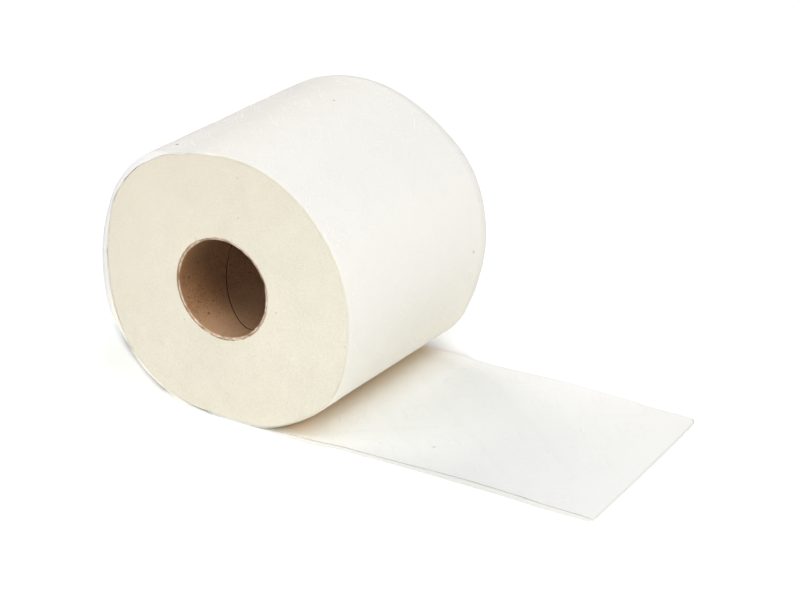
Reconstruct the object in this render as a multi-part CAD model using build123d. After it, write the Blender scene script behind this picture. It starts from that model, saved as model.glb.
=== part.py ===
from build123d import *

import os
from math import cos, radians, sin

# A used toilet paper roll lying on its side, with the loose end of the web run out on the floor.
# Lengths are in millimetres and angles in degrees.
# The origin is the middle of the core's bore. +Y runs along the axis, away from the front end face.
# +X is the way the loose end runs, and +Z is up. Angles are seen from the front, from +X towards +Z.

# The roll and its core
roll_width = 100.0
roll_radius = 55.6
core_radius = 20.4
core_wall = 0.9
core_inset = 0.2

# The helical butt seam of the core's inner ply, and the angle where it leaves the front end
seam_pitch = 85.5
seam_width = 0.5
seam_depth = 0.3
seam_angle = -31.0

# The web: two plies that are wound, loosened and run out together
ply_thickness = 0.25
web_thickness = 2 * ply_thickness
ply_setback = 3.0
tail_length_front = 162.5
tail_length_back = 153.5
tail_corner_radius = 2.0

# The edges of the wound turns, as a spiral groove on both end faces.
# The groove is cut in short straight steps, and its lead runs into the opening of the loose turn.
turns_shown = 8
groove_width = 0.6
groove_depth = 0.45
groove_step = 9.0
groove_lead = 2.5

# How far the roll's own weight presses its soft underside flat
sag = 0.7

# A soft roll isn't a true circle. Each end's outline is the mean radius plus three lobes.
# A lobe is its height and the angle of its crest, and it repeats once, twice or four times in a turn.
front_end = {"y": -roll_width / 2, "growth": 0.0, "slack": 1.0,
             "slump": (1.5, -12.0), "oval": (1.4, -34.0), "square": (1.1, -40.0)}
back_end = {"y": roll_width / 2, "growth": 0.2, "slack": 0.35,
            "slump": (1.8, -14.0), "oval": (1.15, -30.0), "square": (0.65, -52.0)}

# The outermost turn has worked loose from the top left down to the floor.
# loose_gap is how far it stands off the wound turns at the front end, by angle.
# Its outline dips under the floor, past the flat spot's left edge, and the floor cuts it flat.
loose_start = 112.0
loose_gap = {119.0: 0.9, 126.0: 1.7, 137.0: 1.5, 150.0: 0.9, 163.0: 0.7, 176.0: 1.1,
             190.0: 1.7, 202.0: 1.3, 215.0: 0.8, 230.0: 0.7, 242.0: 0.6, 252.0: 0.5}
landing_run = 3.0
landing_dip = 0.3

# Arcs on the tight side of the outline, from the flat spot up to the loose turn
tight_arcs = 9


def lobed_radius(end, angle):
    """Radius of the soft roll before its weight flattens it."""
    slump, slump_at = end["slump"]
    oval, oval_at = end["oval"]
    square, square_at = end["square"]
    return (roll_radius + end["growth"]
            + slump * cos(radians(angle - slump_at))
            + oval * cos(2 * radians(angle - oval_at))
            + square * cos(4 * radians(angle - square_at)))


# The wound turns sit on the web under them, and the web lies on the floor
seat_drop = lobed_radius(front_end, 270.0) - sag
floor_drop = seat_drop + web_thickness


def wound_radius(end, angle):
    """Radius of the wound turns, with the flat spot underneath."""
    radius = lobed_radius(end, angle)
    drop = -sin(radians(angle))
    if drop * radius > seat_drop:
        return seat_drop / drop
    return radius


def flat_spot_edge(end, outside, inside):
    """Angle where the outline meets the seat, between one off the flat spot and one on it."""
    for _ in range(40):
        middle = (outside + inside) / 2
        if wound_radius(end, middle) < lobed_radius(end, middle):
            inside = middle
        else:
            outside = middle
    return outside


def flat_spot(end):
    """Angles of the flat spot's left and right edges at one end of the roll."""
    return flat_spot_edge(end, 235.0, 270.0), flat_spot_edge(end, 315.0, 275.0)


def on_turns(end, angle, stand_off=0.0):
    """Point of an end face, by angle and by how far it stands off the wound turns."""
    radius = lobed_radius(end, angle) + stand_off
    return Vector(radius * cos(radians(angle)), end["y"], radius * sin(radians(angle)))


def off_seat(end, angle, shift_x=0.0, shift_z=0.0):
    """Point of an end face, by X and Z from an edge of the flat spot."""
    return on_turns(end, angle) + Vector(shift_x, 0, shift_z)


def arc_chain(points):
    """Arcs through an odd number of points, each one ending at every second point."""
    return [ThreePointArc(*points[start:start + 3]) for start in range(0, len(points) - 1, 2)]


def into_roll(end):
    """Direction from an end face into the roll."""
    return (0, -1, 0) if end["y"] > 0 else (0, 1, 0)


def loose_turn(end, depth):
    """Points round the loose outer turn, at a depth outside its inner surface."""
    return [on_turns(end, angle, end["slack"] * gap + depth) for angle, gap in loose_gap.items()]


def web_outline(end, tail_length):
    """Outside of the paper at one end: tight turns, loose outer turn and the web on the floor."""
    flat_left, flat_right = flat_spot(end)
    tight_step = (loose_start + 360 - flat_right) / (2 * tight_arcs)
    tight = [on_turns(end, flat_right + i * tight_step) for i in range(2 * tight_arcs + 1)]
    loose = loose_turn(end, web_thickness)
    landing = off_seat(end, flat_left, landing_run, -web_thickness - landing_dip)
    tail_bottom = Vector(tail_length, end["y"], -floor_drop - landing_dip)
    tail_top = Vector(tail_length, end["y"], -seat_drop)
    return Face(Wire([*arc_chain([*tight, *loose]), TangentArc(landing, loose[-1], tangent=(-1, 0, 0)),
                      Line(landing, tail_bottom), Line(tail_bottom, tail_top), Line(tail_top, tight[0])]))


def slack_outline(end):
    """Open crescent between the wound turns and the loose outer turn."""
    flat_left = flat_spot(end)[0]
    tip = on_turns(end, loose_start, -web_thickness - groove_width / 2)
    wound = [on_turns(end, angle) for angle in list(loose_gap)[1:]]
    under = on_turns(end, (list(loose_gap)[-1] + flat_left) / 2)
    finish = on_turns(end, flat_left)
    loose = loose_turn(end, 0.0)
    return Face(Wire([Line(tip, wound[0]), *arc_chain([*wound, under, finish]),
                      TangentArc(finish, loose[-1], tangent=(-1, 0, 0)), *arc_chain([tip, *loose])]))


def turn_groove(end):
    """Spiral groove from the opening of the loose turn in to the core, on one end face."""
    outside_share = 1 - web_thickness / (lobed_radius(end, loose_start) - core_radius)
    inside_share = 0.5 / turns_shown
    steps = round(turns_shown * 360 / groove_step)
    outer, inner = [], []
    for step in range(steps + 1):
        angle = loose_start + groove_lead - step * groove_step
        share = outside_share + (inside_share - outside_share) * step / steps
        radius = core_radius + share * (wound_radius(end, angle) - core_radius)
        outward = Vector(cos(radians(angle)), 0, sin(radians(angle)))
        outer.append(Vector(0, end["y"], 0) + radius * outward)
        inner.append(Vector(0, end["y"], 0) + (radius - groove_width) * outward)
    band = Face(Wire(Polyline(*outer, *reversed(inner), close=True)))
    return extrude(band, amount=groove_depth, dir=into_roll(end))


def seat_groove(end):
    """Straight groove where the wound turns sit on the web below them."""
    flat_left, flat_right = flat_spot(end)
    band = Face(Wire(Polyline(
        off_seat(end, flat_left),
        off_seat(end, flat_right),
        off_seat(end, flat_right, 0, groove_width),
        off_seat(end, flat_left, 0, groove_width),
        close=True)))
    return extrude(band, amount=groove_depth, dir=into_roll(end))


def under_floor():
    """What lies below the floor, as a block under the whole outline."""
    length = 2 * (tail_length_front + tail_length_back)
    block = Box(length, 2 * roll_width, 2 * landing_dip, align=(Align.CENTER, Align.CENTER, Align.MAX))
    return Pos(0, 0, -floor_drop) * block


def upper_ply_setback():
    """Strip along the front edge of the tail where only the lower ply lies."""
    wedge = on_turns(front_end, flat_spot(front_end)[1])
    corner = (wedge.X + ply_setback, front_end["y"], ply_thickness - floor_drop)
    return Pos(corner) * Box(tail_length_front, ply_setback, ply_thickness, align=Align.MIN)


def make_tissue_roll():
    """The paper: one web that is wound, loose on the outside and run out on the floor."""
    roll = loft([web_outline(front_end, tail_length_front), web_outline(back_end, tail_length_back)],
                ruled=True)
    roll -= under_floor()
    roll -= loft([slack_outline(front_end), slack_outline(back_end)], ruled=True)
    torn_corners = roll.edges().filter_by(Axis.Z).sort_by(Axis.X)[-2:]
    roll = fillet(torn_corners, tail_corner_radius)
    roll -= upper_ply_setback()
    roll -= Rot(X=90) * Cylinder(core_radius, 2 * roll_width)
    for end in (front_end, back_end):
        roll -= turn_groove(end)
        roll -= seat_groove(end)
    return roll


def make_core_tube():
    """The cardboard tube, with the helical butt seam of its inner ply."""
    length = roll_width - 2 * core_inset
    bore_radius = core_radius - core_wall
    tube = Cylinder(core_radius, length) - Cylinder(bore_radius, length)
    seam = Helix(pitch=seam_pitch, height=length + 2 * seam_width, radius=bore_radius)
    section = Plane(origin=seam @ 0, z_dir=seam % 0) * Rectangle(2 * seam_depth, seam_width)
    seam_groove = sweep(section, path=seam, is_frenet=True)
    tube -= Rot(Z=-seam_angle) * Pos(0, 0, -length / 2 - seam_width) * seam_groove
    return Rot(X=-90) * tube


if __name__ == "__main__":
    os.makedirs("parts", exist_ok=True)
    export_step(make_tissue_roll(), "parts/tissue_roll.step")
    export_step(make_core_tube(), "parts/core_tube.step")
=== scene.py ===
# %% [markdown]
# # A toilet paper roll with its end run out
#
# The roll lies on its side on a pale floor. Its paper is one long web of two thin plies, wound on a
# cardboard core. The outermost turn has worked loose on the left, comes down to the floor, and runs
# out to the right as a flat tail. The solids of the part give the main shape. This lesson dresses
# them: the edges of the turns, two separate plies, the torn end, the pressed dots and the board's seam.

# %% Load the solids
import math

import bmesh
import bpy
import numpy as np
from mathutils import Matrix, Vector


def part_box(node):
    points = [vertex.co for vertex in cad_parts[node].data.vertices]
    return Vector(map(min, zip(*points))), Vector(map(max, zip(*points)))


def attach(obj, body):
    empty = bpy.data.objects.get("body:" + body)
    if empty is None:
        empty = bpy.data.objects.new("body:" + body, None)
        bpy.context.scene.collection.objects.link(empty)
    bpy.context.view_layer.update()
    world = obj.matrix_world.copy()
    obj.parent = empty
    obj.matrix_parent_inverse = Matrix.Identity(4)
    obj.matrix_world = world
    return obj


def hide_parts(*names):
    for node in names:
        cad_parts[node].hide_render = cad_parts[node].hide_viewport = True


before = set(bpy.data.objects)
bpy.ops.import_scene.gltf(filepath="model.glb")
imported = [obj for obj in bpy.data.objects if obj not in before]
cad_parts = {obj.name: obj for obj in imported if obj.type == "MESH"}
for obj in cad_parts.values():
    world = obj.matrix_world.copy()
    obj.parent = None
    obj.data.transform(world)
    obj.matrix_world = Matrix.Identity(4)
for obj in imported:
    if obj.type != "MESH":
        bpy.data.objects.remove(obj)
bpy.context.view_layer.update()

paper_low, paper_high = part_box("tissue_roll")
core_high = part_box("core_tube")[1]
print("paper box", [round(v, 4) for v in (*paper_low, *paper_high)])

# %% [markdown]
# ## Sizes
#
# Lengths are in metres. The origin is the middle of the core's bore, Y runs along the roll away from
# the visible end, X is the way the tail runs, and Z is up. The floor's level and the core's radius and
# length come from the solids, so the dressed roll can't drift away from them. The web is 100 mm wide,
# as the solid is. Tables of measured points and the masks by place are in millimetres.

# %% Sizes
MM = 0.001
floor_level = paper_low[2]
half_width = 50.0 * MM
core_radius = core_high[0]
core_end = core_high[1]
core_wall = 0.9 * MM
ply_thickness = 0.22 * MM
ply_spacing = 0.25 * MM
web_thickness = 2 * ply_spacing
print("floor level", round(floor_level, 5), "core radius", round(core_radius, 5))

# %% [markdown]
# ## Smooth outlines from a few measured points
#
# A soft roll isn't round. Its outline was measured as a radius every ten degrees or so, and a smooth
# curve through those points gives the radius anywhere between them. A cubic through each pair of
# points, with slopes taken from the neighbours, does that without overshooting much.


# %% A smooth curve through points
def cubic(t, start, end, start_slope, end_slope):
    """A cubic from start to end as t goes from 0 to 1, with its slope given at both."""
    return ((2 * t**3 - 3 * t**2 + 1) * start + (t**3 - 2 * t**2 + t) * start_slope
            + (3 * t**2 - 2 * t**3) * end + (t**3 - t**2) * end_slope)


def smooth_through(table, places, period=None):
    """Values of a smooth curve through a table of (place, value) pairs."""
    xs, ys = np.array(table, dtype=float).T
    if period:
        xs = np.concatenate([xs[-3:] - period, xs, xs[:3] + period])
        ys = np.concatenate([ys[-3:], ys, ys[:3]])
        places = (np.asarray(places, dtype=float) - xs[3]) % period + xs[3]
    slopes = np.gradient(ys, xs)
    places = np.clip(places, xs[0], xs[-1])
    i = np.clip(np.searchsorted(xs, places, side="right") - 1, 0, len(xs) - 2)
    gap = xs[i + 1] - xs[i]
    return cubic((places - xs[i]) / gap, ys[i], ys[i + 1], gap * slopes[i], gap * slopes[i + 1])


def rising(values, start, width):
    """From 0 at the start to 1 a width further on."""
    return np.clip((values - start) / width, 0, 1)


# %% The outlines of the two ends, in millimetres by angle
wound_front = [(0, 56.9), (18, 56.05), (36, 55.5), (54, 55.15), (72, 54.85), (90, 54.2), (108, 54.6),
               (122, 55.6), (135, 56.45), (145, 56.2), (152, 55.85), (157, 55.2), (162, 54.3),
               (168, 53.8), (180, 53.1), (195, 53.2), (210, 54.15), (225, 54.95), (240, 54.6),
               (252, 53.95), (261, 53.6), (270, 53.9), (280, 55.0), (287, 56.1), (293, 56.9),
               (303, 57.7), (313, 58.8), (324, 60.1), (334, 59.4), (346, 57.9)]
wound_back = [(0, 57.5), (15, 57.6), (25, 57.6), (35, 56.9), (45, 55.7), (55, 54.95), (70, 54.6),
              (90, 54.7), (112, 54.9), (135, 54.9), (160, 54.7), (185, 54.3), (210, 54.4),
              (235, 54.2), (252, 53.9), (265, 53.9), (278, 54.8), (290, 55.8), (303, 58.0),
              (314, 59.7), (321, 60.0), (330, 58.6), (342, 57.6)]
loose_front = [(100, 54.4), (106, 54.5), (112, 54.9), (118, 56.6), (124, 58.4), (132, 59.05),
               (140, 58.8), (147, 58.4), (153, 57.75), (160, 56.95), (170, 56.45), (180, 56.15),
               (190, 56.5), (199, 57.1), (205, 56.9), (212, 56.2), (221, 55.75), (235, 55.45),
               (248, 54.85)]
loose_back = [(100, 54.8), (115, 55.1), (135, 55.6), (160, 55.4), (185, 55.0), (210, 55.1),
              (235, 54.9), (248, 54.6)]


def outline(table, degrees):
    """Radius of the wound turns in metres, pressed flat where they sit on the web below them."""
    radius = smooth_through(table, degrees, 360) * MM
    seat = -floor_level - web_thickness
    drop = np.maximum(-np.sin(np.radians(degrees)), 1e-6)
    return np.minimum(radius, seat / drop)


print("front radius at 0 and 270 degrees", outline(wound_front, np.array([0.0, 270.0])).round(5))

# %% [markdown]
# ## Writing node trees as formulas
#
# A node tree made of many small sums is hard to read when each node is added by hand. A thin wrapper
# round a node's output lets the same trees be written as ordinary formulas, in geometry trees and in
# shader trees alike.


# %% A node output that can be used in a formula
class Field:
    """A node's output that adds, subtracts, multiplies and divides as a number does."""

    def __init__(self, socket):
        self.socket = socket
        self.tree = socket.id_data

    def maths(self, operation, *others):
        node = self.tree.nodes.new("ShaderNodeMath")
        node.operation = operation
        for socket, value in zip(node.inputs, (self, *others)):
            plug(socket, value)
        return Field(node.outputs[0])

    def __add__(self, other):
        return self.maths("ADD", other)

    def __sub__(self, other):
        return self.maths("SUBTRACT", other)

    def __rsub__(self, other):
        return (self * -1.0) + other

    def __mul__(self, other):
        return self.maths("MULTIPLY", other)

    def __truediv__(self, other):
        return self.maths("DIVIDE", other)

    __radd__ = __add__

    def clamped(self):
        return self.maths("MAXIMUM", 0.0).maths("MINIMUM", 1.0)

    def ramp(self, start, width):
        """From 0 at the start to 1 a width further on. A width below 0 runs the other way."""
        return ((self - start) / width).clamped()

    def fading(self, width):
        """From 1 at nought to 0 a width away."""
        return (1.0 - self / width).clamped()


def plug(socket, value):
    """Links a field to a socket, or sets the socket's own value."""
    if isinstance(value, Field):
        value.tree.links.new(value.socket, socket)
    else:
        socket.default_value = value


def plug_all(node, inputs):
    """Plugs values into a node by the names of its inputs, with _ for each space."""
    for name, value in inputs.items():
        plug(node.inputs[name.replace("_", " ")], value)


def add(tree, kind, settings=None, **inputs):
    """Adds a node with its settings and inputs."""
    node = tree.nodes.new(kind)
    for name, value in (settings or {}).items():
        setattr(node, name, value)
    plug_all(node, inputs)
    return node


def result(node, key=0):
    return Field(node.outputs[key])


def vector(x, y, z):
    return result(add(x.tree, "ShaderNodeCombineXYZ", X=x, Y=y, Z=z))


def parts(field):
    """The X, Y and Z of a vector field."""
    node = add(field.tree, "ShaderNodeSeparateXYZ", Vector=field)
    return [result(node, i) for i in range(3)]


def along_vector(operation, *fields, scale=None):
    """A vector formula, such as ADD, SCALE, NORMALIZE or CROSS_PRODUCT."""
    tree = next(field.tree for field in fields if isinstance(field, Field))
    node = add(tree, "ShaderNodeVectorMath", {"operation": operation})
    for socket, value in zip(node.inputs, fields):
        plug(socket, value)
    if scale is not None:
        plug(node.inputs["Scale"], scale)
    return result(node, "Value" if operation in ("DISTANCE", "LENGTH", "DOT_PRODUCT") else "Vector")


def blend_vectors(a, b, share):
    """The vector that lies a share of the way from a to b."""
    return along_vector("ADD", a, along_vector("SCALE", along_vector("SUBTRACT", b, a), scale=share))


def noise(place, scale, detail=2.0, roughness=0.5):
    """Soft random values from 0 to 1, mostly near a half."""
    return result(add(place.tree, "ShaderNodeTexNoise", Vector=place, Scale=scale, Detail=detail,
                      Roughness=roughness))


# %% Trees with named inputs
def new_tree(name, inputs, outputs):
    """A tree with named sockets, listed by kind. It gives its inputs as fields, and its end."""
    kind = "GeometryNodeTree" if "Geometry" in inputs else "ShaderNodeTree"
    tree = bpy.data.node_groups.new(name, kind)
    for direction, sockets in (("INPUT", inputs), ("OUTPUT", outputs)):
        for socket_kind, names in sockets.items():
            for socket_name in names.split(", "):
                tree.interface.new_socket(name=socket_name, in_out=direction,
                                          socket_type="NodeSocket" + socket_kind)
    start = tree.nodes.new("NodeGroupInput")
    end = tree.nodes.new("NodeGroupOutput")
    return {s.name: Field(s) for s in start.outputs if s.name}, end


def new_object(name, data):
    """An object in the scene, at the origin."""
    made = bpy.data.objects.new(name, data)
    bpy.context.scene.collection.objects.link(made)
    return made


def put_out(end, **outputs):
    """Plugs a tree's results into its end, and returns the tree."""
    plug_all(end, outputs)
    return end.id_data


def run_tree(name, tree, carrier, values):
    """Runs a geometry tree on a carrier mesh, and returns the result as a plain object at the origin."""
    holder = new_object(name + " carrier", carrier)
    modifier = holder.modifiers.new(tree.name, "NODES")
    modifier.node_group = tree
    for item in tree.interface.items_tree:
        if item.item_type == "SOCKET" and item.in_out == "INPUT" and item.name in values:
            modifier[item.identifier] = values[item.name]
    graph = bpy.context.evaluated_depsgraph_get()
    mesh = bpy.data.meshes.new_from_object(holder.evaluated_get(graph), preserve_all_data_layers=True,
                                           depsgraph=graph)
    mesh.name = name
    bpy.data.objects.remove(holder)
    return new_object(name, mesh)


def close_up(piece, distance=0.01 * MM):
    """Merges a mesh's doubles, turns its faces outwards and smooths them."""
    mesh = bmesh.new()
    mesh.from_mesh(piece.data)
    bmesh.ops.remove_doubles(mesh, verts=mesh.verts, dist=distance)
    bmesh.ops.dissolve_degenerate(mesh, edges=mesh.edges, dist=distance / 10)
    bmesh.ops.recalc_face_normals(mesh, faces=mesh.faces)
    for face in mesh.faces:
        face.smooth = True
    open_edges = sum(not edge.is_manifold for edge in mesh.edges)
    triangles = sum(len(face.verts) - 2 for face in mesh.faces)
    mesh.to_mesh(piece.data)
    mesh.free()
    print(piece.name, "triangles", triangles, "open edges", open_edges)


# %% [markdown]
# ## Finishes
#
# Four finishes cover everything. The paper's outer side is creped: fine ridges run across the roll,
# as they are left by the blade that scrapes the sheet off its drying drum. The pressed dots have the
# same finish in a paler tone. The end faces show the cut edges of more than a hundred turns, which
# look yellower and more matt. The core is plain brown board. In each, the grain mixes a dark and a
# light tone, and soft masks by place lay tints over that. Many of these tints are painted light and
# shade, such as the warm light painted into the wedge between the roll and the tail. An effect such as
# grain, crepe or a speck is a group of nodes that gives only a mask or a height, so that any finish can
# use it, and the Principled shader stays in the material.


# %% Grain, crepe and specks as shared groups
def grain_group():
    """Fibres and pulp clouds: a height for the bump and a slow tone for the colour."""
    value, end = new_tree("Paper grain", {"Vector": "Place", "Float": "Fibre scale, Cloud scale"},
                          {"Float": "Height, Tone"})
    fine = noise(value["Place"], value["Fibre scale"], 3.0, 0.7)
    cloud = noise(value["Place"], value["Cloud scale"], 3.0, 0.55)
    return put_out(end, Height=fine * 0.8 + cloud * 0.2,
                   Tone=(cloud - 0.5) * 0.5 + (fine - 0.5) * 1.5 + 0.5)


def crepe_group():
    """Ridges that run across the web: noise drawn out along the roll's axis."""
    value, end = new_tree("Crepe", {"Vector": "Place", "Float": "Ridge scale"}, {"Float": "Height"})
    drawn_out = along_vector("MULTIPLY", value["Place"], (1.0, 0.28, 1.0))
    return put_out(end, Height=noise(drawn_out, value["Ridge scale"], 2.0, 0.6))


def fleck_group():
    """Sparse flecks of bark and print in recycled pulp."""
    value, end = new_tree("Flecks", {"Vector": "Place", "Float": "Scale, Rarity"}, {"Float": "Mask"})
    spots = noise(value["Place"], value["Scale"], 1.0, 0.4)
    return put_out(end, Mask=((spots - value["Rarity"]) * 14.0).clamped())


def speck_group():
    """A small dark fibre or fleck round one place."""
    value, end = new_tree("Speck", {"Vector": "Place, Centre", "Float": "Radius"}, {"Float": "Mask"})
    wobble = (noise(value["Place"], 2500.0, 1.0) - 0.5) * 0.5
    away = along_vector("DISTANCE", value["Place"], value["Centre"]) / value["Radius"]
    return put_out(end, Mask=(1.6 - (away + wobble) * 1.3).clamped())


def fibre_group():
    """A hair-like mark between two places."""
    value, end = new_tree("Fibre", {"Vector": "Place, Start, End", "Float": "Radius"},
                          {"Float": "Mask"})
    whole = along_vector("SUBTRACT", value["End"], value["Start"])
    away = along_vector("SUBTRACT", value["Place"], value["Start"])
    share = along_vector("DOT_PRODUCT", away, whole) / along_vector("DOT_PRODUCT", whole, whole)
    nearest = along_vector("SCALE", whole, scale=share.clamped())
    bend = (noise(value["Place"], 260.0, 1.0) - 0.5) * (3.0 * MM)
    gap = along_vector("DISTANCE", away, nearest) + bend.maths("ABSOLUTE")
    return put_out(end, Mask=(1.4 - gap / value["Radius"]).clamped())


paper_grain = grain_group()
crepe = crepe_group()
flecks = fleck_group()
speck = speck_group()
fibre = fibre_group()


# %% Building a finish
def finish(name, roughness, settings):
    """A material with an empty Principled shader: the material, the shader and Object coordinates."""
    material = bpy.data.materials.new(name)
    material.use_nodes = True
    tree = material.node_tree
    tree.nodes.clear()
    shader = tree.nodes.new("ShaderNodeBsdfPrincipled")
    shader.inputs["Roughness"].default_value = roughness
    for socket, value in settings.items():
        shader.inputs[socket].default_value = value
    end = tree.nodes.new("ShaderNodeOutputMaterial")
    tree.links.new(shader.outputs["BSDF"], end.inputs["Surface"])
    return material, shader, result(tree.nodes.new("ShaderNodeTexCoord"), "Object")


def group(shared, place, **inputs):
    """Places a shared group in a material."""
    return add(place.tree, "ShaderNodeGroup", {"node_tree": shared}, Place=place, **inputs)


def mix_colours(share, first, second):
    """The colour that lies a share of the way from the first to the second."""
    node = add(share.tree, "ShaderNodeMix", {"data_type": "RGBA"})
    plug(node.inputs[0], share)
    for socket, value in ((node.inputs[6], first), (node.inputs[7], second)):
        plug(socket, value if isinstance(value, Field) else (*value, 1.0))
    return result(node, 2)


def dress(shader, tone, colours, tints, roughness, height, depth, strength):
    """Dresses a shader: two colours mixed by tone, tints laid over in turn, roughness and a bump."""
    colour = mix_colours(tone, *colours)
    for share, tint in tints:
        colour = mix_colours(share, colour, tint)
    bump = add(tone.tree, "ShaderNodeBump", Height=height, Strength=strength, Distance=depth)
    plug_all(shader, {"Base_Color": colour, "Roughness": roughness, "Normal": result(bump)})


def millimetres(place):
    """The X, Y and Z of a place as fields in millimetres."""
    return [axis / MM for axis in parts(place)]


def held_value(place, name, output):
    """A value that the mesh holds under a name."""
    return result(add(place.tree, "ShaderNodeAttribute", {"attribute_name": name}), output)


# %% Specks by place
def on_side(degrees, along, radius):
    """A place on a cylinder about the roll's axis, from millimetres."""
    angle = math.radians(degrees)
    return (radius * math.cos(angle) * MM, along * MM, radius * math.sin(angle) * MM)


def specks_at(rows):
    """Specks from rows of degrees, place along, radius and size in millimetres, and strength."""
    return [(on_side(degrees, along, radius), size * MM, strength)
            for degrees, along, radius, size, strength in rows]


def specks_over(place, specks):
    """One mask for a list of specks, each a centre in metres, a radius and a strength."""
    whole = None
    for centre, radius, strength in specks:
        one = result(group(speck, place, Centre=centre, Radius=radius)) * strength
        whole = one if whole is None else whole.maths("MAXIMUM", one)
    return whole


side_specks = specks_at([(118.5, -40.0, 56.75, 0.8, 0.8), (86.3, 22.4, 54.7, 0.6, 0.5),
                         (-2.7, 40.0, 57.6, 0.8, 0.35)])
tail_specks = [((0.0814, -0.0274, floor_level), 0.9 * MM, 0.35),
               ((0.1198, -0.0072, floor_level), 0.8 * MM, 0.1)]
face_specks = specks_at([(81.6, -50.0, 47.4, 0.5, 0.35), (76.6, -50.0, 31.7, 0.5, 0.3),
                         (-136.2, -50.0, 24.2, 0.5, 0.3), (-8.9, -50.0, 24.8, 0.5, 0.35),
                         (-10.6, -50.0, 56.2, 0.5, 0.3), (123.9, -50.0, 21.6, 0.4, 0.4),
                         (-53.4, -50.0, 49.7, 0.4, 0.35), (-51.0, -50.0, 51.4, 0.35, 0.3)])
bore_specks = specks_at([(-173.9, -43.7, 19.5, 0.6, 1.0), (-126.3, -41.9, 19.5, 0.6, 1.0),
                         (-136.3, -35.0, 19.5, 0.5, 0.8)])


# %% The paper's side
def paper_side(name, colours):
    """The creped side of the paper, with painted light and shade among its tints. Each ramp gives a start
    and a width in millimetres.
    """
    material, shader, place = finish(name, 0.92, {"Specular IOR Level": 0.25, "Sheen Weight": 0.08,
                                                  "Sheen Roughness": 0.6})
    grain = group(paper_grain, place, Fibre_scale=1100.0, Cloud_scale=90.0)
    ridges = result(group(crepe, place, Ridge_scale=1000.0))
    tone = result(grain, "Tone").clamped()
    x, y, z = millimetres(place)
    above_floor = z - floor_level / MM
    on_the_roll = above_floor.ramp(2.0, 3.0)
    on_the_floor = 1.0 - on_the_roll
    # Painted shade: the paper's back rim on the roll is darker and browner.
    back_rim = y.ramp(48.2 - x.ramp(0.0, 50.0) * 3.0, 0.5) * on_the_roll
    # Painted shade: the tucked front rim of the loose turn is greyer, fading out lower down.
    loose_rim_shade = y.ramp(-48.9, -0.5) * x.ramp(-6.0, -8.0) * z.ramp(-24.0, 14.0)
    tight_rim = y.ramp(-49.3, -1 / 3) * x.ramp(-6.0, 8.0) * on_the_roll
    # Painted light: the wedge between the roll and the tail is warmer, standing in for warm bounced light
    # in its shade.
    wedge_warm_light = x.ramp(38.0, -16.0) * x.ramp(0.0, 4.0) * y.ramp(-47.0, 4.0) * on_the_floor
    # Painted shade: the roll's right side is a little darker.
    right_side_shade = x.ramp(0.0, 30.0) * z.ramp(-25.0, 20.0)
    # Painted light: the low right side of the roll is lighter and warmer, as if lit from below.
    low_side_light = z.ramp(-20.0, -25.0) * x.ramp(5.0, 10.0) * on_the_roll
    patchy = (noise(place, 150.0) * 2.0 - 0.5).clamped()
    near_row = (x - 154.5).maths("ABSOLUTE").ramp(0.4, -0.25) * on_the_floor * patchy
    dashes = ((y / 0.4).maths("SINE") * 3.0).clamped() * y.ramp(12.0, -5.0) * y.ramp(-29.0, 5.0)
    along, across = parts(held_value(place, "web", "Vector"))[:2]
    # Painted shadow: the upper ply's front edge on the tail shows as a thin brown line.
    ply_edge_shadow = across.ramp(0.0012, -0.00025) * x.ramp(12.0, 15.0) * on_the_floor
    upper_ply = above_floor.ramp(0.23, 0.1) * along.ramp(0.0, 0.001)
    tints = [(back_rim * (tone * 0.2 + 0.1), (0.60, 0.55, 0.49)),
             (near_row * dashes * 0.2, (0.45, 0.40, 0.33)),
             (loose_rim_shade * 0.75, (0.75, 0.73, 0.72)),
             # Painted light: the paper on the floor is less yellow than on the roll, for the cooler light
             # it gets.
             (on_the_floor * 0.5, (0.885, 0.885, 0.86)),
             (wedge_warm_light, (0.99, 0.74, 0.475)),
             (right_side_shade * 0.55, (0.832, 0.80, 0.747)),
             (low_side_light * 0.9, (0.985, 0.94, 0.82)),
             (tight_rim * 0.9, (0.70, 0.645, 0.52)),
             (ply_edge_shadow * upper_ply * 0.6, (0.50, 0.42, 0.30)),
             (specks_over(place, side_specks + tail_specks), (0.16, 0.12, 0.09))]
    dress(shader, tone, colours, tints, roughness=tone * 0.1 + 0.87,
          height=ridges * 0.6 + result(grain, "Height") * 0.4, depth=0.12 * MM, strength=0.6)
    return material


# %% The cut edges of the turns
def paper_edges():
    """The end faces, with a painted shadow in the gap round the core, painted shade towards the upper
    left and one hair-like fibre.
    """
    material, shader, place = finish("Cut edges of the turns", 0.95, {"Specular IOR Level": 0.2})
    grain = group(paper_grain, place, Fibre_scale=1300.0, Cloud_scale=130.0)
    tone = result(grain, "Tone").clamped()
    x, _, z = millimetres(place)
    # Painted shade: the end face is darker towards the upper left.
    upper_left_shade = (z - x).ramp(0.0, 90.0)
    from_core = along_vector("LENGTH", vector(x, 0.0, z)) - core_radius / MM
    low_left = (0.6 - (x + z) / (2.4 * core_radius / MM)).clamped()
    broken = ((noise(place, 240.0) - 0.40) * 5.0 + low_left * 0.6).clamped()
    # Painted shadow in the gap round the core: a broken dark line, strongest low on the left.
    core_gap_shadow = from_core.ramp(0.62, -0.25) * broken * (low_left * 0.6 + 0.3)
    hair = group(fibre, place, Start=on_side(-19.3, -50.0, 24.1),
                 End=on_side(-25.7, -50.0, 30.8), Radius=0.28 * MM)
    tints = [(upper_left_shade * 0.6, (0.64, 0.57, 0.46)),
             (core_gap_shadow, (0.27, 0.15, 0.08)),
             (specks_over(place, face_specks), (0.30, 0.22, 0.15)),
             (result(hair) * 0.35, (0.38, 0.30, 0.20))]
    dress(shader, tone, [(0.649, 0.603, 0.489), (0.788, 0.742, 0.611)], tints,
          roughness=tone * 0.08 + 0.9, height=result(grain, "Height"), depth=0.2 * MM, strength=0.7)
    return material


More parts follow.
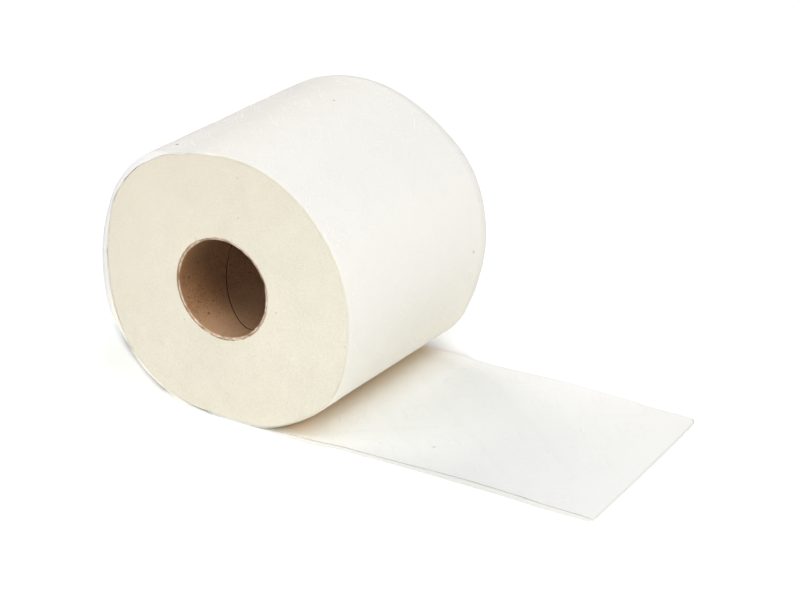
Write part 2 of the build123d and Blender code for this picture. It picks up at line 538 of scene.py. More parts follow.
# %% The board, and all the finishes
def board():
    """Brown board with scraps of pulp, the seam's dark line, a worn rim, painted light low in the bore
    and painted shade high on its front wall.
    """
    material, shader, place = finish("Brown board", 0.85, {"Specular IOR Level": 0.3})
    grain = group(paper_grain, place, Fibre_scale=1700.0, Cloud_scale=120.0)
    tone = ((result(grain, "Tone") - 0.5) * 1.15 + 0.5).clamped()
    scraps = result(group(flecks, place, Scale=1000.0, Rarity=0.62))
    _, y, z = millimetres(place)
    # Painted light: the bore is lighter low down.
    low = z.ramp(-12.0, -7.0)
    # Painted shade: the bore is darker on its upper wall near the front.
    left = z.ramp(-15.0, 14.0) * y.ramp(-4.0, -24.0)
    rim = y.maths("ABSOLUTE").ramp(49.55, 0.25)
    worn = noise(place, 420.0).ramp(0.42, 0.25)
    tints = [(scraps * 0.7, (0.12, 0.06, 0.03)),
             (low * 0.3, (0.66, 0.45, 0.28)),
             (left * 0.35, (0.12, 0.06, 0.025)),
             (held_value(place, "seam", "Fac") * 0.92, (0.022, 0.010, 0.006)),
             (rim * (worn * 0.6 + 0.35), (0.72, 0.59, 0.46)),
             (specks_over(place, bore_specks), (0.07, 0.04, 0.03))]
    dress(shader, tone, [(0.175, 0.082, 0.034), (0.455, 0.249, 0.119)], tints,
          roughness=tone * 0.15 + 0.76, height=result(grain, "Height"), depth=0.2 * MM, strength=0.6)
    return material


side_paper = paper_side("Creped paper", [(0.86, 0.825, 0.735), (0.908, 0.876, 0.785)])
pressed_paper = paper_side("Pressed paper", [(0.89, 0.857, 0.775), (0.93, 0.90, 0.82)])
edge_paper = paper_edges()
brown_board = board()
print("finishes", [m.name for m in bpy.data.materials])

# %% [markdown]
# ## The wound turns
#
# The end of a roll is a spiral: each turn of the web lies on the one below it, and its cut edge shows
# as a fine ridge. More than a hundred of them fill the face. One strip that follows the spiral, three
# vertices wide, makes all of them: valley, crest and valley, with each turn's outer valley merged to
# the next turn's inner one. Where the spiral starts at the core and ends at the rim, its radius is
# held at those limits, so the strip closes there by itself. Geometry Nodes build it from a ring of
# points that carries the outline of each end.


# %% Helpers for geometry trees
def own_value(tree, name, kind):
    """The value that each point holds under a name."""
    return result(add(tree, "GeometryNodeInputNamedAttribute", {"data_type": kind}, Name=name))


def sampled(points, name, index, kind="FLOAT"):
    """The value that a mesh of points holds under a name, at an index."""
    return result(add(points.tree, "GeometryNodeSampleIndex",
                      {"data_type": kind, "domain": "POINT", "clamp": True}, Geometry=points,
                      Value=own_value(points.tree, name, kind), Index=index))


def grid_places(columns, rows, length):
    """A flat grid, with each vertex's place along it from 0 to its length and across it from 0 to 1."""
    grid = add(columns.tree, "GeometryNodeMeshGrid", Size_X=length, Size_Y=1.0, Vertices_X=columns,
               Vertices_Y=rows)
    x, y = parts(result(add(columns.tree, "GeometryNodeInputPosition")))[:2]
    return result(grid, "Mesh"), x + length * 0.5, y + 0.5


def store(mesh, name, value, kind, domain):
    """The mesh with a value kept on it under a name."""
    return result(add(mesh.tree, "GeometryNodeStoreNamedAttribute", {"data_type": kind, "domain": domain},
                      Geometry=mesh, Name=name, Value=value))


def moved(mesh, place):
    return result(add(mesh.tree, "GeometryNodeSetPosition", Geometry=mesh, Position=place))


def joined(pieces):
    node = add(pieces[0].tree, "GeometryNodeJoinGeometry")
    for piece in pieces:
        plug(node.inputs[0], piece)
    return result(node)


def closing(end, mesh, material, distance=0.01 * MM):
    """Merges a mesh's doubles, makes it real, gives it its material and puts it out."""
    if distance:
        mesh = result(add(mesh.tree, "GeometryNodeMergeByDistance", Geometry=mesh, Distance=distance))
    real = add(mesh.tree, "GeometryNodeRealizeInstances", Geometry=mesh)
    painted = add(mesh.tree, "GeometryNodeSetMaterial", Geometry=result(real), Material=material)
    return put_out(end, Geometry=result(painted))


# %% A place on an end face
def face_point(value, end, column, share, crest):
    """A place on one end face, by its column, the share of the way out and the crest's height."""
    outward = -1.0 if end == "front" else 1.0
    angle = column / value["Columns"] * math.tau
    limit = sampled(value["Outline"], end, column)
    span = limit - value["Core radius"]
    radius = value["Core radius"] + share * span
    x = radius * angle.maths("COSINE")
    z = radius * angle.maths("SINE")
    place = vector(x, outward * half_width, z)
    swell = (noise(place, 28.0, 1.0) - 0.5) * value["Swell"]
    from_rim = (1.0 - share) * span
    rounding = from_rim.fading(value["Rim width"])
    rounding = rounding * rounding * value["Rim depth"]
    height = crest + swell - rounding - value["Swell"] * 0.5
    return vector(x, (height * outward) + outward * half_width, z)


# %% The spiral strip, and the walls between the ends
def spiral_face(value, end):
    """One end face: a strip of valley, crest and valley that follows the turns from core to rim."""
    columns, turns = value["Columns"], value["Turns"]
    mesh, along, across = grid_places((turns + 1.0) * columns + 1.0, 3, turns + 1.0)
    station = (along * columns).maths("ROUND")
    column = station.maths("MODULO", columns)
    turn = station / columns
    angle = column / columns * math.tau
    share = ((turn - 1.0 + across) / turns).clamped()
    width = ((turn / turns).clamped() - ((turn - 1.0) / turns).clamped()) * turns
    middle = 1.0 - (across * 2.0 - 1.0).maths("ABSOLUTE")
    spread = vector(angle.maths("COSINE") * 5.0, (turn + across).maths("FLOOR") * 1.7,
                    angle.maths("SINE") * 5.0)
    uneven = noise(spread, 1.0, 1.0) * 1.6 + 0.2
    crest = middle.maths("ROUND") * width * uneven * value["Ridge height"]
    return moved(mesh, face_point(value, end, column, share, crest))


def wall(value, share, rows):
    """The side of the wound turns, or the wall round the core, from one end face to the other."""
    columns = value["Columns"]
    mesh, along, across = grid_places(columns + 1.0, rows, 1.0)
    column = (along * columns).maths("ROUND").maths("MODULO", columns)
    ends = [face_point(value, end, column, along * 0.0 + share, 0.0) for end in ("front", "back")]
    return moved(mesh, blend_vectors(*ends, across))


# %% The tree of the wound turns
def wound_turns_tree():
    """Both end faces, the side under the loose turn and the wall round the core, as one mesh."""
    value, end = new_tree(
        "Wound turns",
        {"Geometry": "Outline", "Int": "Turns, Columns",
         "Float": "Core radius, Ridge height, Rim width, Rim depth, Swell", "Material": "Paper"},
        {"Geometry": "Geometry"})
    faces = [spiral_face(value, name) for name in ("front", "back")]
    walls = [wall(value, 1.0, 9), wall(value, 0.0, 2)]
    return closing(end, joined(faces + walls), value["Paper"])


# %% The ring of points that carries the outlines
def points_mesh(name, count, numbers=None, vectors=None):
    """A mesh of loose points with named values for a tree to read."""
    mesh = bpy.data.meshes.new(name)
    mesh.from_pydata([(0, 0, 0)] * count, [], [])
    for key, values in (numbers or {}).items():
        mesh.attributes.new(key, "FLOAT", "POINT").data.foreach_set("value", np.asarray(values, "f"))
    for key, values in (vectors or {}).items():
        mesh.attributes.new(key, "FLOAT_VECTOR", "POINT").data.foreach_set(
            "vector", np.asarray(values, "f").ravel())
    return mesh


turn_columns = 132
ring_degrees = np.arange(turn_columns) * 360.0 / turn_columns
held_tight = 1.0 - rising(ring_degrees, 100.0, 16.0) + rising(ring_degrees, 256.0, 8.0)
under_web = held_tight * (web_thickness + 0.1 * MM)
outline_ring = points_mesh("Outline ring", turn_columns,
                           {"front": outline(wound_front, ring_degrees) - under_web,
                            "back": outline(wound_back, ring_degrees) - under_web})
wound_turns = run_tree("wound_turns", wound_turns_tree(), outline_ring, {
    "Turns": 116, "Columns": turn_columns, "Core radius": core_radius + 0.09 * MM,
    "Ridge height": 0.08 * MM, "Rim width": 1.6 * MM, "Rim depth": 0.12 * MM, "Swell": 0.4 * MM,
    "Paper": edge_paper})
close_up(wound_turns)

# %% [markdown]
# ## The path of the web
#
# The outer turn, the landing and the tail are one web, so they follow one path. It starts hidden on
# the flat underside, goes up the right side, over the top, down the loose left side, and lands on the
# floor to run out to the right. Each place on the path is a pair of points, one on each edge of the
# web, with the way to its inner side. Measured waves of the tail's edges are in those points too.

# %% The path's stations
hidden_start, loose_from, touch_down = -97.0, 104.0, 246.0
landing_x = -4.0 * MM
tail_front, tail_back = 162.5 * MM, 153.4 * MM
roll_degrees = np.arange(hidden_start, touch_down + 1, 2.0)
landing_shares = np.linspace(0, 1, 13)[1:]
tail_shares = np.linspace(0, 1, 108)[1:]


def path_of(wound, loose, tail_end):
    """X and Z of the web's outer skin at one end of the roll, station by station."""
    radius = np.where(roll_degrees < loose_from, outline(wound, roll_degrees % 360),
                      smooth_through(loose, roll_degrees) * MM)
    angle = np.radians(roll_degrees)
    turn = np.stack([radius * np.cos(angle), radius * np.sin(angle)], axis=1)
    start, last = turn[-1], turn[-2]
    slope = (start - last) / (start - last)[0] * (landing_x - start[0])
    finish_at = np.array([landing_x, floor_level])
    level = np.array([landing_x - start[0], 0.0])
    landing = cubic(landing_shares[:, None], start, finish_at, slope, level)
    tail_x = landing_x + tail_shares * (tail_end - landing_x)
    tail = np.stack([tail_x, np.full(len(tail_x), floor_level)], axis=1)
    return np.concatenate([turn, landing, tail])


def inner_side(path):
    """The unit vector from the outer skin towards the inner side, station by station."""
    heading = np.gradient(path, axis=0)
    heading /= np.linalg.norm(heading, axis=1)[:, None]
    return np.stack([-heading[:, 1], heading[:, 0]], axis=1)


front_path = path_of(wound_front, loose_front, tail_front)
back_path = path_of(wound_back, loose_back, tail_back)
web_run = np.concatenate([[0.0], np.cumsum(np.linalg.norm(np.diff(front_path, axis=0), axis=1))])
web_length = web_run[-1]
station_count = len(web_run)
print("stations", station_count, "web length", round(web_length, 4))

# %% The edges of each ply along the path
lower_front_edge = [(10, -50.0), (30, -50.6), (44, -50.5), (52, -48.6), (61, -48.9), (72, -48.5),
                    (92, -48.5), (112, -48.9), (124, -49.0), (133, -49.6), (145, -50.0), (163, -49.7)]
upper_front_edge = [(8, -49.7), (20, -48.9), (30, -48.0), (42, -47.8), (52, -46.6), (62, -46.4),
                    (78, -46.1), (97, -45.4), (116, -45.6), (130, -46.2), (142, -47.0), (152, -47.3),
                    (163, -47.9)]
back_edge = [(10, 50.0), (30, 50.3), (46, 50.4), (65, 50.1), (74, 50.6), (84, 51.1), (92, 51.6),
             (101, 51.3), (112, 50.9), (120, 50.5), (130, 49.9), (150, 49.6)]
on_roll = len(roll_degrees)
on_floor = np.zeros(station_count)
on_floor[on_roll:] = rising(front_path[on_roll:, 0], landing_x, 12 * MM)
torn_length = 14 * MM


def web_path(name, front_edge, setback, front_lift, back_lift):
    """A path mesh for one ply, with its edges and everything that varies along it."""
    tail = np.arange(station_count) >= on_roll + len(landing_shares)
    front_y = np.where(tail, smooth_through(front_edge, front_path[:, 0] / MM) * MM,
                       -half_width + setback)
    back_y = np.where(tail, smooth_through(back_edge, back_path[:, 0] / MM) * MM,
                      half_width - setback)
    flat = np.zeros(station_count)
    vectors = {}
    for end, path, edge_y in (("front", front_path, front_y), ("back", back_path, back_y)):
        side = inner_side(path)
        vectors[end] = np.stack([path[:, 0], edge_y, path[:, 1]], axis=1)
        vectors[end + " side"] = np.stack([side[:, 0], flat, side[:, 1]], axis=1)
    end_share = rising(web_run, web_length - torn_length, torn_length) ** 2
    vectors["edges"] = np.stack([on_floor, edge_tuck, front_lift], axis=1)
    vectors["run"] = np.stack([web_run, end_share, back_lift], axis=1)
    return points_mesh(name, station_count, vectors=vectors)


full_degrees = np.concatenate([roll_degrees, np.full(station_count - on_roll, 250.0)])
loose_now = smooth_through(loose_front, full_degrees) * MM
wound_now = outline(wound_front, full_degrees % 360)
rim_gap = smooth_through([(96, 0.05), (118, 0.02), (128, -0.1), (134, 0.0), (141, 0.06), (146, -0.12),
                          (152, 0.08), (158, -0.12), (166, 0.05), (172, -0.12), (180, 0.05),
                          (186, -0.12), (196, 0.05), (204, 0.0), (225, -0.05), (250, 0.0)],
                         full_degrees) * MM
rim_gap += np.random.default_rng(5).uniform(-0.12, 0.12, station_count) * MM
deepest_tuck, tight_tuck = 3.4 * MM, 0.25 * MM
edge_tuck = np.clip(loose_now - wound_now - web_thickness - rim_gap, 0, deepest_tuck)
edge_tuck *= rising(full_degrees, 108, 10) * (1 - on_floor)
edge_tuck[on_roll:] *= np.linspace(1, 0, station_count - on_roll)
edge_tuck += tight_tuck * (1 - rising(full_degrees, 96, 12))
print("deepest tuck of the loose edge", round(edge_tuck.max() / MM, 2), "mm")

# %% [markdown]
# ## Two plies on the path
#
# The web is two thin plies. Each is a closed sheet: a grid whose rows go across the outer skin, round
# the back edge, back across the inner skin and round the front edge, with both ends pinched shut.
# A shared tree places any point of the web by its station, its place across and its depth, with the
# ripples, the tucked rim on the roll, the lifted edge on the tail and the torn end. The same tree
# later places the pressed dots, so they can't miss the surface.


# %% A point on the web
def web_point_tree():
    """Where a point of the web lies, and the way to its inner side."""
    value, end = new_tree("Point on the web",
                          {"Geometry": "Path", "Float": "Station, Across, Depth, Ripple, Seed"},
                          {"Vector": "Place, Inner side"})
    station = value["Station"].maths("MAXIMUM", 0.0)
    before = station.maths("FLOOR")
    share = station - before

    def held(name):
        """A vector of the path, blended between the two nearest stations."""
        ends = [sampled(value["Path"], name, index, "FLOAT_VECTOR")
                for index in (before, before + 1.0)]
        return blend_vectors(*ends, share)

    across = value["Across"]
    base = blend_vectors(held("front"), held("back"), across)
    side = along_vector("NORMALIZE", blend_vectors(held("front side"), held("back side"), across))
    floor_share, tuck, front_lift = parts(held("edges"))
    run, end_share, back_lift = parts(held("run"))
    from_front = across * (2 * half_width)
    from_back = (1.0 - across) * (2 * half_width)
    place = vector(run, from_front, value["Seed"])
    # Soft waves, calmer on the floor, where they only rise
    wave = noise(place, 45.0, 1.0) * 0.75 + noise(place, 110.0, 1.0) * 0.25
    ripple = (wave - (1.0 - floor_share) * 0.5 - floor_share * 0.28).maths("MAXIMUM", floor_share - 1.0)
    calm = 1.0 - floor_share * 0.65
    # The tucked rims of the roll and the lifted edges of the tail
    rim = from_front.fading(0.9 * MM).maths("POWER", 1.3)
    back_rim = from_back.fading(3.0 * MM).maths("POWER", 1.5)
    front_curl, back_curl = from_front.fading(9.0 * MM), from_back.fading(9.0 * MM)
    depth = (value["Depth"] + ripple * value["Ripple"] * calm + rim * tuck
             + back_rim * (1.0 - floor_share) * (0.4 * MM)
             + front_curl * front_curl * front_lift + back_curl * back_curl * back_lift)
    # The torn end: rounded corners, ragged fibres and a slight bow
    corner = (across * 3.4 + 0.8) * MM
    near = ((corner - from_front.maths("MINIMUM", from_back)) / corner).clamped()
    rounded = (1.0 - (1.0 - near * near).maths("SQRT")) * corner
    torn = (noise(place, 700.0, 4.0, 0.7) - 0.5) * (1.1 * MM)
    bow = (across - 0.5) * (across - 0.5) * -1.0 + 0.25
    cut = (rounded + torn - bow * (2.0 * MM)) * end_share
    moved_in = along_vector("ADD", base, along_vector("SCALE", side, scale=depth))
    return put_out(end, Place=along_vector("ADD", moved_in, vector(cut * -1.0, 0.0, 0.0)),
                   Inner_side=side)


web_point = web_point_tree()


def on_web(value, station, across, depth):
    """The shared tree, placed in another tree that has the same path, ripple and seed."""
    return add(station.tree, "GeometryNodeGroup", {"node_tree": web_point}, Path=value["Path"],
               Station=station, Across=across, Depth=depth, Ripple=value["Ripple"], Seed=value["Seed"])


# %% The tree of one ply
def ply_tree():
    """One closed sheet on the path, at its own depth."""
    value, end = new_tree("Ply of the web",
                          {"Geometry": "Path", "Int": "Stations, Rows",
                           "Float": "Depth, Thickness, Ripple, Seed", "Material": "Paper"},
                          {"Geometry": "Geometry"})
    stations, rows = value["Stations"], value["Rows"]
    mesh, along, across = grid_places(stations + 2.0, rows * 2.0 + 1.0, stations + 1.0)
    station = along.maths("ROUND") - 1.0
    lane = (across * rows * 2.0).maths("ROUND")
    closing_lane = lane.maths("GREATER_THAN", rows * 2.0 - 0.5)
    lane = lane * (1.0 - closing_lane)
    inside = lane.maths("GREATER_THAN", rows - 0.5)
    row = lane * (1.0 - inside) + (rows * 2.0 - 1.0 - lane) * inside
    # Rows lie closer together near both edges of the web
    even = row / (rows - 1.0)
    eased = 0.5 - (even * math.pi).maths("COSINE") * 0.5
    over = even * 0.12 + eased * 0.88
    pinched = station.maths("LESS_THAN", -0.5) + station.maths("GREATER_THAN", stations - 0.5)
    skin = inside * (1.0 - pinched) + pinched * 0.5
    depth = value["Depth"] + skin * value["Thickness"]
    point = on_web(value, station.maths("MINIMUM", stations - 1.0), over, depth)
    flat_place = vector(along / (stations + 1.0), over, 0.0)
    mapped = store(mesh, "web", flat_place, "FLOAT2", "CORNER")
    return closing(end, moved(mapped, result(point)), value["Paper"])


# %% Both plies
wave_count = 24
wave = np.random.default_rng(7).uniform(0.2, 1.0, wave_count)
tail_wave = np.interp(np.arange(station_count), np.linspace(on_roll, station_count, wave_count), wave)
edge_lift = on_floor * rising(front_path[:, 0] / MM, 30, 20) * tail_wave
lower_path = web_path("Lower ply path", lower_front_edge, 0.0,
                      0.2 * MM * edge_lift, 0.3 * MM * edge_lift)
upper_path = web_path("Upper ply path", upper_front_edge, 0.25 * MM,
                      0.3 * MM * edge_lift, 0.35 * MM * edge_lift)
ply = ply_tree()
rippled = {"Ripple": 0.5 * MM, "Seed": 0.3}
sizes = {"Stations": station_count, "Rows": 76, "Thickness": ply_thickness, "Paper": side_paper,
         **rippled}
outer_ply = run_tree("outer_ply", ply, lower_path, {**sizes, "Depth": 0.0})
inner_ply = run_tree("inner_ply", ply, upper_path, {**sizes, "Depth": ply_spacing})
for piece in (outer_ply, inner_ply):
    close_up(piece)

# %% [markdown]
# ## The pressed dots
#
# The plies are pressed together in rows of small dots. Here the rows make a common ogee lattice with
# a plain ring and a scalloped ring in each cell. A flat pattern is worked out first, in lengths along
# and across the web, and the shared tree then carries each dot to its place on the roll or the tail.
# A dot is a flattened sphere of thirty-two triangles, because there are thousands of them.

# %% The tree of the dots
table_steps = 1000
edge_margin = 1.5 * MM
cells_across = 7.0
ring_dots, scallop_dots = 10.0, 28.0
ring_radius, scallop_radius, scallop_swing = 2.6 * MM, 3.4 * MM, 1.2 * MM


def dots_tree():
    """Dots in paired wavy lines and in rings, carried onto the web."""
    value, end = new_tree(
        "Pressed dots",
        {"Geometry": "Path", "Int": "Lines, Dots in a line",
         "Float": "First run, Line pitch, Cell length, Swing, Dot pitch, Dot size, Dot height, Depth, "
                  "Facing, Web length, Ripple, Seed", "Material": "Paper"},
        {"Geometry": "Geometry"})
    tree = end.id_data
    width = 2 * half_width

    def carried(mesh, run, over):
        """Flat places carried onto the web, with the way to the inner side kept for each."""
        step = (run / value["Web length"]).clamped() * (table_steps - 1.0)
        before = step.maths("FLOOR")
        here, after = [sampled(value["Path"], "station of", index)
                       for index in (before, before + 1.0)]
        station = here + (after - here) * step.maths("FRACT")
        point = on_web(value, station, over / width, value["Depth"])
        held_side = store(mesh, "side", result(point, "Inner side"), "FLOAT_VECTOR", "POINT")
        return moved(held_side, result(point))

    line_count = value["Lines"] * 2.0
    line_mesh, line, along = grid_places(line_count, value["Dots in a line"], line_count - 1.0)
    line = line.maths("ROUND")
    pair = (line / 2.0).maths("FLOOR")
    second = line - pair * 2.0
    flip = 1.0 - pair.maths("MODULO", 2.0) * 2.0
    over = along * (width - 2 * edge_margin) + edge_margin
    swing = (over / value["Cell length"] * math.tau).maths("SINE") * value["Swing"] * flip
    stagger = (second - 0.5) * value["Dot pitch"] * 1.2
    run = value["First run"] + pair * value["Line pitch"] + swing + stagger
    lattice = carried(line_mesh, run, over)

    cell_count = value["Lines"] * cells_across
    cell_mesh, cell, around = grid_places(cell_count, int(ring_dots + scallop_dots),
                                          cell_count - 1.0)
    cell = cell.maths("ROUND")
    strip = (cell / cells_across).maths("FLOOR")
    row = cell - strip * cells_across
    lane = (around * (ring_dots + scallop_dots - 1.0)).maths("ROUND")
    outer = lane.maths("GREATER_THAN", ring_dots - 0.5)
    turn = (lane - outer * ring_dots) / (outer * (scallop_dots - ring_dots) + ring_dots) * math.tau
    scallop = (turn * 4.0).maths("COSINE") * scallop_swing + scallop_radius
    reach = scallop * outer + ring_radius
    odd = strip.maths("MODULO", 2.0)
    middle = (row * 0.5 + 0.25) * value["Cell length"]
    shown = ((row + odd).maths("MODULO", 2.0)).maths("GREATER_THAN", 0.5)
    ring_run = value["First run"] + (strip + 0.5) * value["Line pitch"] + reach * turn.maths("COSINE")
    ring_over = middle + reach * turn.maths("SINE")
    hidden = (1.0 - shown) + ring_over.maths("GREATER_THAN", width - 2.0 * MM)
    kept = add(tree, "GeometryNodeDeleteGeometry", {"domain": "POINT"}, Geometry=cell_mesh,
               Selection=hidden.maths("GREATER_THAN", 0.5))
    rings = carried(result(kept), ring_run, ring_over)

    side = own_value(tree, "side", "FLOAT_VECTOR")
    turned = add(tree, "FunctionNodeAxesToRotation", {"primary_axis": "Z", "secondary_axis": "X"})
    plug(turned.inputs[0], along_vector("SCALE", side, scale=value["Facing"]))
    plug(turned.inputs[1], along_vector("CROSS_PRODUCT", (0.0, 1.0, 0.0), side))
    ball = add(tree, "GeometryNodeMeshUVSphere", Radius=1.0, Segments=8, Rings=3)
    smooth = add(tree, "GeometryNodeSetShadeSmooth", Geometry=result(ball, "Mesh"))
    size = vector(value["Dot size"] * 1.3, value["Dot size"], value["Dot height"])
    set_down = add(tree, "GeometryNodeInstanceOnPoints", Points=joined([lattice, rings]),
                   Instance=result(smooth), Rotation=result(turned), Scale=size)
    return closing(end, result(set_down), value["Paper"], distance=None)


# %% The dots on the roll and on the tail
def dotted_path(path):
    """The path's mesh, lengthened to hold a table of the station at each even step of its length."""
    vectors = {}
    for attribute in path.attributes:
        if attribute.data_type == "FLOAT_VECTOR" and attribute.name != "position":
            values = np.zeros(station_count * 3, "f")
            attribute.data.foreach_get("vector", values)
            values = values.reshape(-1, 3)
            padding = np.repeat(values[-1:], table_steps - station_count, axis=0)
            vectors[attribute.name] = np.concatenate([values, padding])
    stations = np.interp(np.linspace(0, web_length, table_steps), web_run, np.arange(station_count))
    return points_mesh(path.name + " with table", table_steps, {"station of": stations}, vectors)


dots = dots_tree()
dot_values = {"Line pitch": 20.0 * MM, "Cell length": 34.0 * MM, "Swing": 8.0 * MM,
              "Dot pitch": 1.5 * MM, "Dots in a line": 66, "Web length": web_length,
              "Paper": pressed_paper, **rippled}
roll_dots = run_tree("roll_dots", dots, dotted_path(lower_path), {
    **dot_values, "First run": 20.0 * MM, "Lines": 17, "Depth": 0.05 * MM, "Facing": -1.0,
    "Dot size": 0.38 * MM, "Dot height": 0.15 * MM})
tail_dots = run_tree("tail_dots", dots, dotted_path(upper_path), {
    **dot_values, "First run": web_length - 130.0 * MM, "Lines": 6,
    "Depth": ply_spacing + ply_thickness - 0.04 * MM, "Facing": 1.0, "Dot size": 0.45 * MM,
    "Dot height": 0.08 * MM})
for piece in (roll_dots, tail_dots):
    print(piece.name, "triangles", sum(len(p.vertices) - 2 for p in piece.data.polygons))

# %% [markdown]
# ## The cardboard core
#
# The core is wound from strips of board, and the seam of its innermost strip runs round the bore as a
# helix. A mesh whose rows follow that helix can have close rows at the seam and wide ones elsewhere,
# so a groove half a millimetre wide stays sharp with few faces. One turn on, each row meets the row a
# whole pitch away, and at the two ends the rows are cut off at the rim.

# %% The seam, the torn rims and the bore's wall
seam_pitch = 85.5 * MM
seam_start = -14.8 * MM
rows_in_pitch = 56
core_columns = 120
bunching = 0.93
groove_width, groove_depth = 0.32 * MM, 0.3 * MM

# Where the front rim is torn or frayed: a place and a spread in degrees, and a depth in millimetres
torn_rim = [(20, 6, 0.25), (313, 1.8, -0.4), (321, 1.6, -0.45), (306, 2.0, 0.15), (250, 2.5, -0.2)]
rag = np.random.default_rng(11).uniform(-0.14, 0.1, 91)


def seam_height(angle):
    """Where the seam's line crosses an angle, along the axis."""
    return seam_start - seam_pitch * (angle + math.radians(179.5)) / math.tau


def rim_shift(angle, end):
    """How far a torn rim stands back from a true cut."""
    wave = sum(height * np.sin(count * angle + turn * end)
               for height, count, turn in ((0.05, 5, 1), (0.05, 11, 2), (0.03, 23, 0)))
    if end > 0:
        return (0.1 + wave) * MM
    degrees = np.degrees(angle)
    torn = sum(depth * np.exp(-((degrees - at) / spread) ** 2) for at, spread, depth in torn_rim)
    ragged = np.interp(degrees, np.linspace(0, 360, len(rag)), rag) * (0.5 + 0.5 * (degrees > 190))
    ragged[-1] = ragged[0]
    return (0.1 + wave + torn + ragged) * MM


def bore_wall(angle, along):
    """Radius of the bore's wall and the seam's mask, by angle and place along the axis."""
    turns = (along - seam_height(angle)) / seam_pitch
    from_seam = np.abs((turns + 0.5) % 1.0 - 0.5) * seam_pitch
    groove = np.clip(1 - from_seam / groove_width, 0, 1) * groove_depth
    lip = 0.05 * MM * np.exp(-((from_seam - 0.9 * MM) / (0.6 * MM)) ** 2)
    wobble = 0.06 * MM * np.sin(3 * angle + along * 60)
    return core_radius - core_wall + groove - lip + wobble, (from_seam < 0.33 * MM).astype(float)


# %% The core's mesh
def core_mesh():
    """Vertices, faces and the seam's mask of the core."""
    angles = np.linspace(0, math.tau, core_columns + 1)
    reach = 2 * core_end + seam_pitch
    first = math.floor(-reach / seam_pitch) - 1
    steps = np.arange((2 * -first + 1) * rows_in_pitch + 1) / rows_in_pitch + first
    eased = steps - bunching / math.tau * np.sin(math.tau * steps)
    vertices, mask, faces = [], [], []

    def ring(radius, along):
        """The places of one row, from its radius and its place along the axis at each angle."""
        return np.stack([radius * np.cos(angles), along, radius * np.sin(angles)], axis=1)

    def grid(places, seam=None):
        """Adds rows of places, joined by faces, with the seam's mask for each row."""
        start = len(vertices)
        count = len(angles)
        for row, row_mask in zip(places, seam or np.zeros((len(places), count))):
            vertices.extend(row)
            mask.extend(row_mask)
        for i in range(len(places) - 1):
            for j in range(count - 1):
                a = start + i * count + j
                faces.append((a, a + 1, a + count + 1, a + count))

    shares = np.array([0.0, 0.18, 0.42, 0.75, 1.0])
    swell = np.array([-0.35, -0.12, 0.02, 0.06, 0.0]) * MM
    low = -core_end + rim_shift(angles, -1)
    high = core_end - rim_shift(angles, 1)
    inner_from, inner_to = low - swell[0], high + swell[0]
    inner, seams = [], []
    for row in eased * seam_pitch:
        along = seam_height(angles) + row
        if along.max() < -core_end - seam_pitch / 8 or along.min() > core_end + seam_pitch / 8:
            continue
        along = np.clip(along, inner_from, inner_to)
        radius, dark = bore_wall(angles, along)
        inner.append(ring(radius, along))
        seams.append(dark)
    grid(inner, seams)
    for edge, level, outward in ((inner_from, low, -1), (inner_to, high, 1)):
        inside = bore_wall(angles, edge)[0]
        grid([ring(inside + s * (core_radius - inside), level + outward * w)
              for s, w in zip(shares, swell)])
    grid([ring(core_radius, low + share * (high - low)) for share in np.linspace(0, 1, 5)])
    return vertices, faces, mask


# %% The core
vertices, faces, mask = core_mesh()
mesh = bpy.data.meshes.new("board_core")
mesh.from_pydata([tuple(v) for v in vertices], [], faces)
mesh.attributes.new("seam", "FLOAT", "POINT").data.foreach_set("value", np.asarray(mask, "f"))
mesh.materials.append(brown_board)
board_core = new_object("board_core", mesh)
close_up(board_core, 0.004 * MM)

# %% [markdown]
# ## The pieces in place of the solids
#
# The paper pieces stand in for the paper solid and the new core for the tube; both solids are hidden. All
# ride the one body.

# %% The pieces on the body, and the hidden solids
for piece in (wound_turns, outer_ply, inner_ply, roll_dots, tail_dots):
    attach(piece, "root")
    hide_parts("tissue_roll")
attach(board_core, "root")
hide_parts("core_tube")

# %% [markdown]
# ## Floor, light and camera
#
# Five large round lamps and a weak bluish sky light the roll softly from all sides, a little warmer
# from the right. The wide floor is white and glows a little, as the overexposed ground of a product
# photo does. Under the roll it is darker and hardly glows, so a soft grey shadow is left beside it.


# %% Floor and light
lamp_distance, lamp_size = 2.3, 1.2
floor_reach, floor_glow = 6.0, 0.33


def way_to(azimuth, elevation):
    """The unit vector from the roll towards a direction, in degrees from the front and from level."""
    around, up = math.radians(azimuth), math.radians(elevation)
    return Vector((math.sin(around) * math.cos(up), -math.cos(around) * math.cos(up), math.sin(up)))


def soft_lamp(name, azimuth, elevation, energy, colour):
    """A round soft lamp that faces the roll."""
    place = lamp_distance * way_to(azimuth, elevation)
    lamp = bpy.data.lights.new(name, "AREA")
    lamp.shape = "DISK"
    lamp.size = lamp_size
    lamp.energy = energy
    lamp.color = colour
    holder = new_object(name, lamp)
    holder.location = place
    holder.rotation_mode = "QUATERNION"
    holder.rotation_quaternion = place.to_track_quat("Z", "Y")


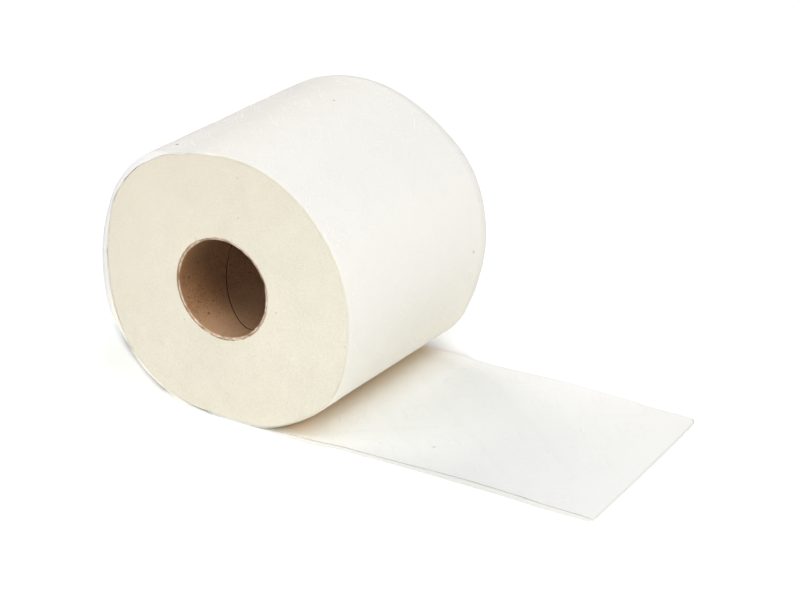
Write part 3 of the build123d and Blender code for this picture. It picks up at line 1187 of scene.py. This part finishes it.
def white_floor():
    """The floor's finish, darker and without its glow under the roll."""
    material, shader, place = finish("White floor", 0.9, {
        "Specular IOR Level": 0.1, "Emission Color": (0.95, 1.0, 0.88, 1.0)})
    x, y, _ = millimetres(place)
    past_front = y + 10.4 + (x + 77.6) * 0.761 + (x + 77.6) * (-33.3 - x) * 0.0022
    under_roll = (x.ramp(-92.0, 22.0) * x.ramp(58.0, -10.0) * past_front.ramp(0.0, 3.6)
                  * y.ramp(-45.0, 5.0) * y.ramp(62.0, -14.0))
    colour = mix_colours(noise(place, 3.0), (0.93, 0.93, 0.93), (0.95, 0.95, 0.95))
    colour = mix_colours(under_roll * under_roll * 0.5, colour, (0.28, 0.26, 0.27))
    plug_all(shader, {"Base_Color": colour, "Emission_Strength": floor_glow - under_roll * 0.3})
    return material


def studio():
    """The floor, the sky and the lamps, as stage only."""
    mesh = bpy.data.meshes.new("floor")
    corners = ((-1, -1), (1, -1), (1, 1), (-1, 1))
    mesh.from_pydata([(x * floor_reach, y * floor_reach, floor_level) for x, y in corners], [],
                     [(0, 1, 2, 3)])
    mesh.materials.append(white_floor())
    floor = new_object("floor", mesh)
    world = bpy.data.worlds.new("Studio")
    world.use_nodes = True
    sky = world.node_tree.nodes["Background"]
    sky.inputs["Color"].default_value = (0.95, 0.95, 1.4, 1.0)
    sky.inputs["Strength"].default_value = 0.04
    bpy.context.scene.world = world
    for lamp in (("Front lamp", 20, 20, 15.2, (0.98, 1.0, 1.06)),
                 ("Left lamp", -20, 50, 12.6, (1.0, 1.0, 0.99)),
                 ("Right lamp", 60, 45, 23.5, (1.10, 1.0, 0.87)),
                 ("High lamp", 60, 65, 15.6, (0.77, 1.0, 1.28)),
                 ("Back lamp", -120, 40, 15.0, (1.09, 1.0, 0.97))):
        soft_lamp(*lamp)


studio()


# %% The camera at the photograph's angle
def photo_camera(azimuth, elevation, roll, place, lens, shift):
    """A camera that looks down on the roll from its front right."""
    back, tilt = way_to(azimuth, elevation), math.radians(roll)
    level = Vector((0, 0, 1)).cross(back).normalized()
    upright = back.cross(level)
    right = math.cos(tilt) * level + math.sin(tilt) * upright
    up = math.cos(tilt) * upright - math.sin(tilt) * level
    data = bpy.data.cameras.new("Camera")
    data.lens = lens
    data.sensor_width = 36.0
    data.shift_x, data.shift_y = shift
    camera = new_object("Camera", data)
    camera.matrix_world = Matrix.Translation(place) @ Matrix((right, up, back)).transposed().to_4x4()
    bpy.context.scene.camera = camera


photo_camera(azimuth=31.402, elevation=23.517, roll=0.925, place=Vector((0.81336, -1.25322, 0.62765)),
             lens=187.84, shift=(0.0007, 0.0013))
bpy.context.scene.view_settings.view_transform = "Standard"
